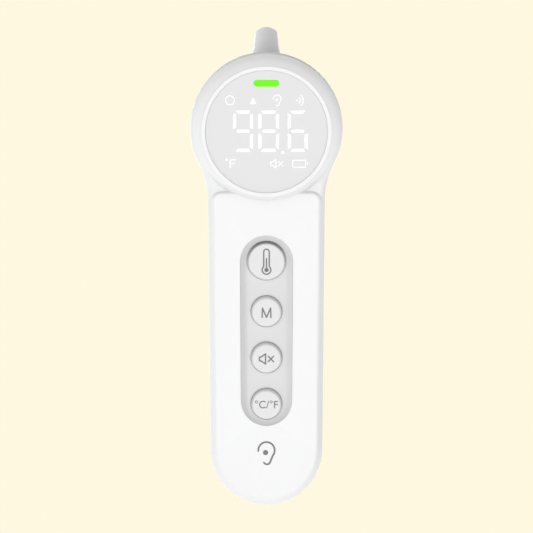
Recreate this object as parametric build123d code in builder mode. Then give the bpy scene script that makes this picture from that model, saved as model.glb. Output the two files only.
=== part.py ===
"""Digital ear thermometer: two-shell casing, display head, four keys, battery bay and tilted probe.

Millimetres, +Z up along the handle, front facing -Y. The origin is on the ground plane under the middle of
the object's bounding box. Depths are measured backwards from the frontmost plane, the display's rim.
"""
from math import cos, pi, radians, sin
import os

from build123d import *

os.makedirs("parts", exist_ok=True)

# ---------------------------------------------------------------- driving dimensions
OVERALL_HEIGHT = 153.8

HEAD_R = 24.5            # round display head, seen from the front
HEAD_Z = 120.6
END_R = 17.9             # round bottom end of the handle, which is also its centre height
NECK_HALF_WIDTH = 18.85  # handle's half-width where it runs into the head
NECK_RUN_IN_Z = 110.0
NECK_FILLET_R = 25.6     # hollow curve between handle and head
BLEND_STEP = 0.13        # the handle's own disc lies this far inside the head, so that the head's skin shows

WALL = 1.8
HANDLE_FRONT = 1.0       # depth of the handle's raised front face
FACE_TOP_Z = 99.3        # where that face stops, under the head
FACE_CORNER_R = 2.2
BAND_WIDTH = 2.1         # sloped band between the face and the handle's sides
BAND_DEPTH = 1.5
BAND_EDGE_R = 1.2        # softening along both edges of the band
FACE_STEP = 0.1          # the raised front's sides lie this far inside the handle's own
FACE_ROOT = 6.0          # depth that the raised front reaches inside the handle
NECK_FRONT = 1.7         # depth of the neck's front, behind the face and the head
NECK_ROLL = 2.0
BACK = 24.0              # depth of the flat back
BACK_ROLL = 8.0
PARTING = 11.0           # depth of the plane where the two shells meet
SEAM_REBATE = 0.22       # width and depth of the shadow gap that each shell leaves along the parting

SCREEN_Z = 119.4         # centre of the display window, a little below the head's centre
RIM_R = 20.9             # flat rim round the window
RIM_STEP = 0.12          # the rim stands this far proud of the bezel
BEZEL_TILT = radians(24) # slope of the bezel beside the rim
BEZEL_ROLL = 4.4         # how deep the bezel rolls back to the head's full circle
LENS_R = 19.6
LENS_GAP = 0.05
LENS_RECESS = 0.35
LENS_THICKNESS = 1.2
ADHESIVE_THICKNESS = 0.2
WINDOW_R = 18.2
LEDGE_BACK = 3.2

PANEL_TOP_Z = 77.7       # centre of the key panel's top round end
PANEL_TOP_R = 8.4
PANEL_BOTTOM_Z = 33.5
PANEL_BOTTOM_R = 8.1
PANEL_SLOPE = 1.5        # width of the sloped side of the recess
PANEL_FLOOR = 2.3        # depth of the recess's floor
PANEL_COVE_R = 2.0       # hollow curve between slope and floor
PANEL_BACK = 3.5
PANEL_FLANGE = 1.2
PANEL_GAP = 0.08

BUTTON_FRONT = 1.05      # depth of the button faces
BUTTON_SHOULDER = 2.2    # depth where a cap starts to narrow
BUTTON_NARROWING = 0.6   # how much smaller the face's radius is
BUTTON_FACE_DROP = 0.45  # the face sits lower than the cap, so that its long slope is above it
BUTTON_EDGE_R = 0.4
BUTTON_GAP = 0.12        # ring of air round each cap
BUTTON_FLANGE_OVERLAP = 0.5
BUTTON_FLANGE_FRONT = 3.6
BUTTON_FLANGE_BACK = 4.3
BUTTON_STEM_R = 1.5
BUTTON_TRAVEL = 0.5
BUTTONS = {"measure": (78.2, 6.25), "memory": (62.0, 5.0), "mute": (47.2, 5.0), "unit": (32.4, 5.0)}

BOARD_FRONT = 8.6        # main board
BOARD_BACK = 9.6
BOARD_HALF_WIDTH = 14.6
BOARD_BOTTOM_Z = 14.0
BOARD_TOP_Z = 92.0
BOARD_SCREW_X = 11.5
BOARD_SCREW_Z = (16.4, 89.0)

SWITCH_SIZE = 4.5
SWITCH_FRONT = 7.0
PLUNGER_R = 1.2
PLUNGER_FRONT = 6.1
PLUNGER_BACK = 7.7
PLUNGER_GAP = 0.15

CELL_R = 5.25            # AAA cell
CELL_LENGTH = 44.5
CELL_NUB = 0.9
CELL_X = 5.6
CELL_DEPTH = 16.8
BAY_HALF_WIDTH = 11.3
BAY_WALL = 1.1
BAY_FRONT = 11.2
BAY_BOTTOM_Z = 19.2
BAY_TOP_Z = 72.7
BAY_TOP_WALL = 1.5
CONTACT_THICKNESS = 0.4

DOOR_HALF_WIDTH = 11.9
DOOR_GAP = 0.25
DOOR_BOTTOM_Z = 14.25
DOOR_TOP_Z = 73.75
DOOR_INSIDE = 22.3       # depth of the door's inner face

CASE_SCREWS = ((-14.2, 100.0), (14.2, 100.0), (0.0, 7.8))
CASE_SCREW_SEAT = 20.0   # depth of the shoulder under the screw heads

PROBE_TILT = radians(38.0)   # backwards from vertical
TIP_R = 3.7
TIP_EDGE_R = 0.9
TIP_DEPTH = 39.3         # depth of the tip's centre
COLLAR_R = 7.0           # seat of the probe cover
COLLAR_TOP = -13.1       # along the probe's axis, from the tip
COLLAR_LENGTH = 4.0
SPIGOT_R = 5.6
SPIGOT_GAP = 0.1
NOSE_R = 8.6
NOSE_SLOPE = 0.12        # widening of the nose per millimetre
NOSE_LENGTH = 24.0
NOSE_END_WALL = 2.0
NOSE_FILLET_R = 4.0
NOSE_RIM_R = 0.6

OVERALL_DEPTH = TIP_DEPTH - TIP_EDGE_R * sin(PROBE_TILT) + (TIP_R - TIP_EDGE_R) * cos(PROBE_TILT) + TIP_EDGE_R
TIP_Z = OVERALL_HEIGHT - TIP_EDGE_R + TIP_EDGE_R * cos(PROBE_TILT) - (TIP_R - TIP_EDGE_R) * sin(PROBE_TILT)
FRONT_Y = -OVERALL_DEPTH / 2
COLLAR_BOTTOM = COLLAR_TOP - COLLAR_LENGTH
NOSE_INSIDE = COLLAR_BOTTOM - NOSE_END_WALL

# ---------------------------------------------------------------- frames and helpers


def face_at(depth):
    """Plane seen from the front: sketch x along X, sketch y along Z, positive extrusions forwards."""
    return Plane(origin=(0, FRONT_Y + depth, 0), x_dir=(1, 0, 0), z_dir=(0, -1, 0))


def along_probe(distance):
    """Point on the probe's axis, a distance out from the tip (negative is back into the head)."""
    return (0, FRONT_Y + TIP_DEPTH + distance * sin(PROBE_TILT), TIP_Z + distance * cos(PROBE_TILT))


probe_axis = Axis(along_probe(0), (0, sin(PROBE_TILT), cos(PROBE_TILT)))
probe_section = Plane(origin=along_probe(0), x_dir=(1, 0, 0), z_dir=(0, -cos(PROBE_TILT), sin(PROBE_TILT)))


def save(part, name):
    """Name a finished piece and write its file."""
    part.label = name
    export_step(part, f"parts/{name}.step")


def turned(name, points):
    """A solid of revolution round the probe's axis, from a closed outline of (radius, distance) points."""
    with BuildPart() as piece:
        with BuildSketch(probe_section):
            with BuildLine():
                Polyline(*points, close=True)
            make_face()
        revolve(axis=probe_axis)
    save(piece.part, name)


def block(name, x_range, depth_range, z_range):
    """A plain rectangular piece between the given limits."""
    with BuildPart() as piece:
        with BuildSketch(face_at(depth_range[1])):
            with Locations(((x_range[0] + x_range[1]) / 2, (z_range[0] + z_range[1]) / 2)):
                Rectangle(x_range[1] - x_range[0], z_range[1] - z_range[0])
        extrude(amount=depth_range[1] - depth_range[0])
    save(piece.part, name)


# ---------------------------------------------------------------- casing form


def casing_outline(inset):
    """Fill the current sketch with the handle, its neck and a disc behind the head, drawn in by inset."""
    with BuildSketch(mode=Mode.PRIVATE) as straight:
        with Locations((0, END_R)):
            Circle(END_R - inset)
        with Locations((0, NECK_RUN_IN_Z)):
            Circle(NECK_HALF_WIDTH - inset)
        make_hull()
    with BuildSketch(mode=Mode.PRIVATE) as outline:
        add(straight.sketch)
        with Locations((0, HEAD_Z)):
            Circle(HEAD_R - BLEND_STEP - inset)
        neck_corners = outline.vertices().filter_by(lambda v: END_R + END_R < v.Y < NECK_RUN_IN_Z)
        fillet(neck_corners, NECK_FILLET_R + inset)
    add(outline.sketch)


def handle_form(inset):
    """The handle with its neck, and a disc that fills the head."""
    with BuildPart() as handle:
        with BuildSketch(face_at(BACK - inset)):
            casing_outline(inset)
        extrude(amount=BACK - NECK_FRONT - 2 * inset)
        if inset == 0:
            front_face = handle.faces().sort_by(Axis.Y)[0]
            fillet(front_face.edges(), NECK_ROLL)
        back_face = handle.faces().sort_by(Axis.Y)[-1]
        fillet(back_face.edges(), BACK_ROLL - inset)
    return handle.part


def face_form(inset):
    """The raised front of the handle, bounded by a sloped band."""
    with BuildPart() as raised:
        with BuildSketch(face_at(FACE_ROOT)) as outline:
            with Locations((0, END_R)):
                Circle(END_R - FACE_STEP - inset)
            with Locations((0, NECK_RUN_IN_Z)):
                Circle(NECK_HALF_WIDTH - FACE_STEP - inset)
            make_hull()
            with Locations((0, FACE_TOP_Z + BAND_WIDTH - inset)):
                Rectangle(4 * END_R, END_R + HEAD_Z, align=(Align.CENTER, Align.MAX), mode=Mode.INTERSECT)
            fillet(outline.vertices().group_by(Axis.Y)[-1], FACE_CORNER_R + BAND_WIDTH)
        extrude(amount=FACE_ROOT - HANDLE_FRONT - inset)
        if inset == 0:
            front_face = raised.faces().sort_by(Axis.Y)[0]
            chamfer(front_face.edges(), BAND_DEPTH, BAND_WIDTH, reference=front_face)
            band_back = FRONT_Y + HANDLE_FRONT + BAND_DEPTH + 0.01
            band_edges = raised.edges().filter_by(lambda e: e.center().Y < band_back)
            level_edges = band_edges.filter_by(lambda e: abs((e @ 0).Y - (e @ 1).Y) < 0.001)
            fillet(level_edges, BAND_EDGE_R)
    return raised.part


def head_form(inset):
    """The round head: a flat rim round the window, then a bezel that rolls out to the full circle."""
    with BuildPart() as head:
        steps = 6
        for step in range(steps + 1):
            turn = BEZEL_TILT + (pi / 2 - BEZEL_TILT) * step / steps
            out = (sin(turn) - sin(BEZEL_TILT)) / (1 - sin(BEZEL_TILT))
            back = (cos(BEZEL_TILT) - cos(turn)) / cos(BEZEL_TILT)
            with BuildSketch(face_at(inset + RIM_STEP + (BEZEL_ROLL - RIM_STEP) * back)):
                with Locations((0, SCREEN_Z + (HEAD_Z - SCREEN_Z) * out)):
                    Circle(RIM_R - inset + (HEAD_R - RIM_R) * out)
        loft()
        with BuildSketch(face_at(inset + BEZEL_ROLL)):
            with Locations((0, HEAD_Z)):
                Circle(HEAD_R - inset)
        extrude(amount=-(BACK - BEZEL_ROLL - 2 * inset))
        back_face = head.faces().sort_by(Axis.Y)[-1]
        fillet(back_face.edges(), BACK_ROLL - inset)
        if inset == 0:
            with BuildSketch(face_at(2 * RIM_STEP)):
                with Locations((0, SCREEN_Z)):
                    Circle(RIM_R)
            extrude(amount=2 * RIM_STEP)
    return head.part


def nose_form(inset):
    """The cone on the head's upper back that carries the probe."""
    top = COLLAR_BOTTOM - (NOSE_END_WALL if inset else 0)
    bottom = COLLAR_BOTTOM - NOSE_LENGTH
    with BuildPart() as nose:
        with BuildSketch(probe_section):
            with BuildLine():
                Polyline(
                    (0, top),
                    (NOSE_R - inset + NOSE_SLOPE * (COLLAR_BOTTOM - top), top),
                    (NOSE_R - inset + NOSE_SLOPE * NOSE_LENGTH, bottom),
                    (0, bottom),
                    close=True,
                )
            make_face()
        revolve(axis=probe_axis)
        if inset == 0:
            fillet(nose.edges().filter_by(GeomType.CIRCLE).sort_by(Axis.Z)[-1], NOSE_RIM_R)
    return nose.part


def casing_form(inset):
    """The whole outer form, drawn in by inset, with a soft hollow round the foot of the nose."""
    with BuildPart() as form:
        add(head_form(inset))
        add(face_form(inset))
        add(handle_form(inset))
        add(nose_form(inset))
        if inset == 0:
            behind = form.edges().filter_by(lambda e: e.center().Y > FRONT_Y + BACK - BACK_ROLL)
            junction = behind.filter_by(lambda e: e.geom_type in (GeomType.ELLIPSE, GeomType.BSPLINE))
            fillet(junction.filter_by(lambda e: e.center().Z > NECK_RUN_IN_Z), NOSE_FILLET_R)
    return form.part


outer_form = casing_form(0)
inner_form = casing_form(WALL)

with BuildPart() as seam_gap:
    with BuildSketch(face_at(PARTING + SEAM_REBATE)):
        with Locations((0, OVERALL_HEIGHT / 2)):
            Rectangle(4 * HEAD_R, 2 * OVERALL_HEIGHT)
        with BuildSketch(mode=Mode.PRIVATE) as kept:
            casing_outline(SEAM_REBATE)
            with Locations((0, HEAD_Z)):
                Circle(HEAD_R - SEAM_REBATE)
        add(kept.sketch, mode=Mode.SUBTRACT)
    extrude(amount=2 * SEAM_REBATE)


def pill(top_z, top_r, bottom_z, bottom_r):
    """Fill the current sketch with a pill whose two round ends may differ."""
    with BuildSketch(mode=Mode.PRIVATE) as shape:
        with Locations((0, top_z)):
            Circle(top_r)
        with Locations((0, bottom_z)):
            Circle(bottom_r)
        make_hull()
    add(shape.sketch)


def panel_pill(grow):
    """The key panel's outline, grown or shrunk."""
    pill(PANEL_TOP_Z, PANEL_TOP_R + grow, PANEL_BOTTOM_Z, PANEL_BOTTOM_R + grow)


# ---------------------------------------------------------------- front shell
BOSS_R = 2.3
BOARD_BOSS_HOLE_R = 0.7
CASE_BOSS_R = 2.6
CASE_PILOT_R = 0.95
DISPLAY_SCREW_RADIUS = 19.4
DISPLAY_SCREW_ANGLES = (90, 210, 330)
SCREW_HOLE_END = 4.5     # depth where the blind holes for case and main board screws stop
DISPLAY_BOSS_R = 1.5
DISPLAY_BOSS_HOLE_R = 0.55
DISPLAY_BOARD_FRONT = 6.2
DISPLAY_BOARD_BACK = 7.4
DISPLAY_BOARD_R = 20.8
DISPLAY_BOSS_ROOT = 0.5  # how far the display bosses reach into the ledge
DISPLAY_HOLE_FLOOR = 0.2 # what their holes leave of that ledge's depth
POCKET_DEPTH = LENS_RECESS + LENS_THICKNESS + ADHESIVE_THICKNESS
board_screw_points = [(side * BOARD_SCREW_X, z) for side in (-1, 1) for z in BOARD_SCREW_Z]
display_screw_points = [
    (DISPLAY_SCREW_RADIUS * cos(radians(angle)), SCREEN_Z + DISPLAY_SCREW_RADIUS * sin(radians(angle)))
    for angle in DISPLAY_SCREW_ANGLES
]

with BuildPart() as front_shell:
    add(outer_form)
    add(inner_form, mode=Mode.SUBTRACT)
    split(bisect_by=face_at(PARTING), keep=Keep.TOP)
    add(seam_gap.part, mode=Mode.SUBTRACT)
    with BuildSketch(face_at(LEDGE_BACK)):
        with Locations((0, SCREEN_Z)):
            Circle(RIM_R)
    extrude(amount=LEDGE_BACK - POCKET_DEPTH)
    with BuildSketch(face_at(PARTING)):
        with Locations(*CASE_SCREWS):
            Circle(CASE_BOSS_R)
    extrude(amount=PARTING - HANDLE_FRONT - WALL)
    with BuildSketch(face_at(BOARD_FRONT)):
        with Locations(*board_screw_points):
            Circle(BOSS_R)
    extrude(amount=BOARD_FRONT - HANDLE_FRONT - WALL)
    with BuildSketch(face_at(DISPLAY_BOARD_FRONT)):
        with Locations(*display_screw_points):
            Circle(DISPLAY_BOSS_R)
    extrude(amount=DISPLAY_BOARD_FRONT - LEDGE_BACK + DISPLAY_BOSS_ROOT)
    with BuildSketch(face_at(PARTING)):
        with Locations(*CASE_SCREWS):
            Circle(CASE_PILOT_R)
    extrude(amount=PARTING - SCREW_HOLE_END, mode=Mode.SUBTRACT)
    with BuildSketch(face_at(BOARD_FRONT)):
        with Locations(*board_screw_points):
            Circle(BOARD_BOSS_HOLE_R)
    extrude(amount=BOARD_FRONT - SCREW_HOLE_END, mode=Mode.SUBTRACT)
    with BuildSketch(face_at(DISPLAY_BOARD_FRONT)):
        with Locations(*display_screw_points):
            Circle(DISPLAY_BOSS_HOLE_R)
    extrude(amount=DISPLAY_BOARD_FRONT - LEDGE_BACK - DISPLAY_HOLE_FLOOR, mode=Mode.SUBTRACT)
    with BuildSketch(face_at(POCKET_DEPTH)):
        with Locations((0, SCREEN_Z)):
            Circle(LENS_R + LENS_GAP)
    extrude(amount=POCKET_DEPTH, mode=Mode.SUBTRACT)
    with BuildSketch(face_at(LEDGE_BACK)):
        with Locations((0, SCREEN_Z)):
            Circle(WINDOW_R)
    extrude(amount=LEDGE_BACK, mode=Mode.SUBTRACT)
    with BuildSketch(face_at(PARTING)):
        panel_pill(PANEL_GAP)
    extrude(amount=PARTING, mode=Mode.SUBTRACT)
save(front_shell.part, "front_shell")

# ---------------------------------------------------------------- rear shell
CASE_WELL_R = 2.2
CASE_CLEARANCE_R = 1.1
BAY_FLOOR_FRONT = BAY_FRONT - BAY_WALL
LEAD_SLOT = (2.4, 0.9)
LEAD_SLOT_DEPTH = 13.0
CASE_COLUMN_R = CASE_BOSS_R + 0.6
BAY_OUTSIDE_HEIGHT = BAY_TOP_Z + BAY_TOP_WALL - BAY_BOTTOM_Z + BAY_WALL
BAY_OUTSIDE_Z = BAY_BOTTOM_Z - BAY_WALL + BAY_OUTSIDE_HEIGHT / 2

with BuildPart() as rear_shell:
    add(outer_form)
    add(inner_form, mode=Mode.SUBTRACT)
    split(bisect_by=face_at(PARTING), keep=Keep.BOTTOM)
    add(seam_gap.part, mode=Mode.SUBTRACT)
    with BuildSketch(face_at(BACK - WALL)):
        with Locations((0, BAY_OUTSIDE_Z)):
            Rectangle(2 * (BAY_HALF_WIDTH + BAY_WALL), BAY_OUTSIDE_HEIGHT)
        with Locations(*CASE_SCREWS):
            Circle(CASE_COLUMN_R)
    extrude(amount=BACK - WALL - PARTING)
    with BuildSketch(face_at(PARTING)):
        with Locations((0, BAY_OUTSIDE_Z)):
            Rectangle(2 * (BAY_HALF_WIDTH + BAY_WALL), BAY_OUTSIDE_HEIGHT)
    extrude(amount=PARTING - BAY_FLOOR_FRONT)
    with BuildSketch(face_at(BACK)):
        with Locations((0, (BAY_BOTTOM_Z + BAY_TOP_Z) / 2)):
            Rectangle(2 * BAY_HALF_WIDTH, BAY_TOP_Z - BAY_BOTTOM_Z)
    extrude(amount=BACK - BAY_FRONT, mode=Mode.SUBTRACT)
    with BuildSketch(face_at(BACK)):
        with Locations((0, (DOOR_BOTTOM_Z + DOOR_TOP_Z) / 2)):
            Rectangle(2 * (DOOR_HALF_WIDTH + DOOR_GAP), DOOR_TOP_Z - DOOR_BOTTOM_Z + 2 * DOOR_GAP)
    extrude(amount=WALL, mode=Mode.SUBTRACT)
    with BuildSketch(face_at(LEAD_SLOT_DEPTH + LEAD_SLOT[1] / 2)):
        with Locations((-CELL_X, BAY_TOP_Z + BAY_TOP_WALL / 2), (CELL_X, BAY_TOP_Z + BAY_TOP_WALL / 2)):
            Rectangle(LEAD_SLOT[0], 2 * BAY_TOP_WALL)
    extrude(amount=LEAD_SLOT[1], mode=Mode.SUBTRACT)
    with BuildSketch(face_at(BACK)):
        with Locations(*CASE_SCREWS):
            Circle(CASE_WELL_R)
    extrude(amount=BACK - CASE_SCREW_SEAT, mode=Mode.SUBTRACT)
    with BuildSketch(face_at(BACK)):
        with Locations(*CASE_SCREWS):
            Circle(CASE_CLEARANCE_R)
    extrude(amount=BACK - PARTING, mode=Mode.SUBTRACT)
    with BuildSketch(probe_section):
        with BuildLine():
            Polyline(
                (0, COLLAR_BOTTOM + 1),
                (SPIGOT_R + SPIGOT_GAP, COLLAR_BOTTOM + 1),
                (SPIGOT_R + SPIGOT_GAP, NOSE_INSIDE - 1),
                (0, NOSE_INSIDE - 1),
                close=True,
            )
        make_face()
    revolve(axis=probe_axis, mode=Mode.SUBTRACT)
save(rear_shell.part, "rear_shell")

# ---------------------------------------------------------------- battery door
GRIP_GROOVES = 6
GRIP_PITCH = 1.9
GRIP_TOP_Z = 69.5
GRIP_LENGTH = 9.0        # of the top groove; each one below is shorter
GRIP_SHORTENING = 1.1
GRIP_WIDTH = 0.9
GRIP_DEPTH = 0.5
DOOR_EDGE_CHAMFER = 0.2
TAB_X = 7.0
TAB_WIDTH = 4.0
TAB_THICKNESS = 1.2
TAB_STAND = 1.6          # how far the hooked tab stands in from the door
TAB_REACH = 2.35         # how far its hook reaches under the casing

with BuildPart() as battery_door:
    add(outer_form)
    with BuildSketch(face_at(BACK)):
        with Locations((0, (DOOR_BOTTOM_Z + DOOR_TOP_Z) / 2)):
            Rectangle(2 * DOOR_HALF_WIDTH, DOOR_TOP_Z - DOOR_BOTTOM_Z)
    extrude(amount=BACK - DOOR_INSIDE, mode=Mode.INTERSECT)
    outer_edges = battery_door.faces().sort_by(Axis.Y)[-1].edges()
    chamfer(outer_edges.filter_by(Axis.X), DOOR_EDGE_CHAMFER)
    for groove in range(GRIP_GROOVES):
        with BuildSketch(face_at(BACK)):
            with Locations((0, GRIP_TOP_Z - groove * GRIP_PITCH)):
                SlotOverall(GRIP_LENGTH - groove * GRIP_SHORTENING, GRIP_WIDTH)
        extrude(amount=GRIP_DEPTH, mode=Mode.SUBTRACT)
    tab_tops = [(-TAB_X, DOOR_BOTTOM_Z + TAB_THICKNESS), (TAB_X, DOOR_BOTTOM_Z + TAB_THICKNESS)]
    with BuildSketch(face_at(DOOR_INSIDE)):
        with Locations(*tab_tops):
            Rectangle(TAB_WIDTH, TAB_THICKNESS, align=(Align.CENTER, Align.MAX))
    extrude(amount=TAB_STAND)
    with BuildSketch(face_at(DOOR_INSIDE - TAB_STAND + TAB_THICKNESS)):
        with Locations(*tab_tops):
            Rectangle(TAB_WIDTH, TAB_REACH + TAB_THICKNESS, align=(Align.CENTER, Align.MAX))
    extrude(amount=TAB_THICKNESS)
save(battery_door.part, "battery_door")

# ---------------------------------------------------------------- display
LIGHT_BAR_Z = 134.9
LIGHT_BAR_SIZE = (8.1, 2.1)
LIGHT_BAR_GAP = 0.06
DIFFUSER_FRONT = 1.65
GUIDE_FRONT = 1.95
DIGIT_X = (-7.5, 0.7, 10.0)
DIGIT_Z = 119.6
DIGIT_HEIGHT = 13.2
DIGIT_WIDTH = 6.4
SEGMENT_WIDTH = 1.5
LENS_RIM_R = 0.05        # softening of the lens's front edge
PIPE_BACK = 5.0
PIPE_PROUD = 0.02        # the light pipe stands this far out of the lens
DIFFUSER_INSET = 0.3
LAYER_GAP = 0.05         # air between the diffuser and the light guide
LED_SIZE = (1.4, 0.7)
LED_HEIGHT = 0.6


def segment_windows():
    """Cut places of the digit segments: centre x, centre z and a turn of 0 or 90 degrees."""
    places = []
    for x in DIGIT_X:
        for level in (-1, 0, 1):
            places.append((x, DIGIT_Z + level * (DIGIT_HEIGHT - SEGMENT_WIDTH) / 2, 0))
        for side in (-1, 1):
            for half in (-1, 1):
                bar_x = x + side * (DIGIT_WIDTH - SEGMENT_WIDTH) / 2
                places.append((bar_x, DIGIT_Z + half * (DIGIT_HEIGHT - SEGMENT_WIDTH) / 4, 90))
    return places


with BuildPart() as display_lens:
    with BuildSketch(face_at(LENS_RECESS + LENS_THICKNESS)):
        with Locations((0, SCREEN_Z)):
            Circle(LENS_R)
        with Locations((0, LIGHT_BAR_Z)):
            SlotOverall(*[side + 2 * LIGHT_BAR_GAP for side in LIGHT_BAR_SIZE], mode=Mode.SUBTRACT)
    extrude(amount=LENS_THICKNESS)
    rim = display_lens.faces().sort_by(Axis.Y)[0].outer_wire().edges()
    fillet(rim, LENS_RIM_R)
save(display_lens.part, "display_lens")

with BuildPart() as lens_adhesive_ring:
    with BuildSketch(face_at(POCKET_DEPTH)):
        with Locations((0, SCREEN_Z)):
            Circle(LENS_R - 0.1)
            Circle(WINDOW_R + 0.1, mode=Mode.SUBTRACT)
    extrude(amount=ADHESIVE_THICKNESS)
save(lens_adhesive_ring.part, "lens_adhesive_ring")

with BuildPart() as display_diffuser:
    with BuildSketch(face_at(GUIDE_FRONT - LAYER_GAP)):
        with Locations((0, SCREEN_Z)):
            Circle(WINDOW_R - DIFFUSER_INSET)
        with Locations((0, LIGHT_BAR_Z)):
            SlotOverall(*[side + 4 * LIGHT_BAR_GAP for side in LIGHT_BAR_SIZE], mode=Mode.SUBTRACT)
    extrude(amount=GUIDE_FRONT - LAYER_GAP - DIFFUSER_FRONT)
save(display_diffuser.part, "display_diffuser")

with BuildPart() as indicator_light_pipe:
    with BuildSketch(face_at(PIPE_BACK)):
        with Locations((0, LIGHT_BAR_Z)):
            SlotOverall(*LIGHT_BAR_SIZE)
    extrude(amount=PIPE_BACK - LENS_RECESS + PIPE_PROUD)
save(indicator_light_pipe.part, "indicator_light_pipe")

with BuildPart() as segment_light_guide:
    with BuildSketch(face_at(DISPLAY_BOARD_FRONT)):
        with Locations((0, SCREEN_Z)):
            Circle(WINDOW_R - DIFFUSER_INSET)
        with Locations((0, LIGHT_BAR_Z)):
            SlotOverall(*[side + 4 * LIGHT_BAR_GAP for side in LIGHT_BAR_SIZE], mode=Mode.SUBTRACT)
        for x, z, turn in segment_windows():
            with Locations((x, z)):
                SlotOverall(DIGIT_WIDTH - 2 * SEGMENT_WIDTH, SEGMENT_WIDTH, rotation=turn, mode=Mode.SUBTRACT)
    extrude(amount=DISPLAY_BOARD_FRONT - GUIDE_FRONT)
save(segment_light_guide.part, "segment_light_guide")

with BuildPart() as display_leds:
    with BuildSketch(face_at(DISPLAY_BOARD_FRONT)):
        for x, z, turn in segment_windows():
            with Locations((x, z)):
                Rectangle(*LED_SIZE, rotation=turn)
    extrude(amount=LED_HEIGHT)
save(display_leds.part, "display_leds")

block("indicator_led", (-0.8, 0.8), (5.4, DISPLAY_BOARD_FRONT), (LIGHT_BAR_Z - 0.5, LIGHT_BAR_Z + 0.5))

with BuildPart() as display_board:
    with BuildSketch(face_at(DISPLAY_BOARD_BACK)):
        with Locations((0, SCREEN_Z)):
            Circle(DISPLAY_BOARD_R)
        with Locations(*display_screw_points):
            Circle(DISPLAY_BOSS_HOLE_R + 0.1, mode=Mode.SUBTRACT)
    extrude(amount=DISPLAY_BOARD_BACK - DISPLAY_BOARD_FRONT)
save(display_board.part, "display_board")


def screws(name, points, seat, tip, shank_r, head_r, head_height):
    """Identical pan-head screws driven in from the back, with a cross slot in each head."""
    with BuildPart() as group:
        with BuildSketch(face_at(seat)):
            with Locations(*points):
                Circle(shank_r)
        extrude(amount=seat - tip)
        with BuildSketch(face_at(seat + head_height)):
            with Locations(*points):
                Circle(head_r)
        extrude(amount=head_height)
        crowns = group.edges().filter_by(GeomType.CIRCLE).group_by(Axis.Y)[-1]
        fillet(crowns, head_height * 0.4)
        with BuildSketch(face_at(seat + head_height)):
            with Locations(*points):
                Rectangle(head_r * 1.1, head_r * 0.28)
                Rectangle(head_r * 0.28, head_r * 1.1)
        extrude(amount=head_height * 0.6, mode=Mode.SUBTRACT)
    save(group.part, name)


screws("display_board_screws", display_screw_points, DISPLAY_BOARD_BACK, 4.0, 0.5, 1.1, 0.8)
screws("main_board_screws", board_screw_points, BOARD_BACK, 5.0, 0.65, 1.3, 0.9)
screws("case_screws", CASE_SCREWS, CASE_SCREW_SEAT, 6.0, 0.85, 1.9, 1.4)

# ---------------------------------------------------------------- key panel and keys
with BuildPart() as key_panel:
    with BuildSketch(face_at(PANEL_BACK)):
        panel_pill(0)
    extrude(amount=PANEL_BACK - HANDLE_FRONT)
    with BuildSketch(face_at(PANEL_BACK)):
        panel_pill(PANEL_FLANGE)
    extrude(amount=PANEL_BACK - HANDLE_FRONT - WALL)
    with BuildSketch(face_at(HANDLE_FRONT)):
        panel_pill(-0.05)
    with BuildSketch(face_at(PANEL_FLOOR)):
        panel_pill(-PANEL_SLOPE)
    loft(mode=Mode.SUBTRACT)
    level_faces = key_panel.faces().filter_by(Plane.XZ)
    floor = level_faces.filter_by(lambda f: abs(f.center().Y - FRONT_Y - PANEL_FLOOR) < 0.01)
    fillet(floor.edges(), PANEL_COVE_R)
    with BuildSketch(face_at(PANEL_BACK)):
        for z, radius in BUTTONS.values():
            with Locations((0, z)):
                Circle(radius + BUTTON_GAP)
    extrude(amount=PANEL_BACK, mode=Mode.SUBTRACT)
save(key_panel.part, "key_panel")

for key, (key_z, key_r) in BUTTONS.items():
    with BuildPart() as cap:
        with BuildSketch(face_at(BUTTON_SHOULDER)):
            with Locations((0, key_z)):
                Circle(key_r)
        with BuildSketch(face_at(BUTTON_FRONT)):
            with Locations((0, key_z - BUTTON_FACE_DROP)):
                Circle(key_r - BUTTON_NARROWING)
        loft()
        face_edge = cap.edges().sort_by(Axis.Y)[0]
        fillet(face_edge, BUTTON_EDGE_R)
        with BuildSketch(face_at(BUTTON_FLANGE_BACK)):
            with Locations((0, key_z)):
                Circle(key_r)
        extrude(amount=BUTTON_FLANGE_BACK - BUTTON_SHOULDER)
        with BuildSketch(face_at(BUTTON_FLANGE_BACK)):
            with Locations((0, key_z)):
                Circle(key_r + BUTTON_GAP + BUTTON_FLANGE_OVERLAP)
        extrude(amount=BUTTON_FLANGE_BACK - BUTTON_FLANGE_FRONT)
        with BuildSketch(face_at(PLUNGER_FRONT)):
            with Locations((0, key_z)):
                Circle(BUTTON_STEM_R)
        extrude(amount=PLUNGER_FRONT - BUTTON_FLANGE_BACK)
    save(cap.part, f"{key}_button")

    with BuildPart() as plunger:
        with BuildSketch(face_at(PLUNGER_BACK)):
            with Locations((0, key_z)):
                Circle(PLUNGER_R)
        extrude(amount=PLUNGER_BACK - PLUNGER_FRONT)
    save(plunger.part, f"{key}_plunger")

with BuildPart() as switch_bodies:
    with BuildSketch(face_at(BOARD_FRONT)):
        for key_z, key_r in BUTTONS.values():
            with Locations((0, key_z)):
                RectangleRounded(SWITCH_SIZE, SWITCH_SIZE, 0.4)
    extrude(amount=BOARD_FRONT - SWITCH_FRONT)
    with BuildSketch(face_at(BOARD_FRONT - 0.2)):
        for key_z, key_r in BUTTONS.values():
            with Locations((0, key_z)):
                Circle(PLUNGER_R + PLUNGER_GAP)
    extrude(amount=BOARD_FRONT, mode=Mode.SUBTRACT)
save(switch_bodies.part, "switch_bodies")

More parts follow.
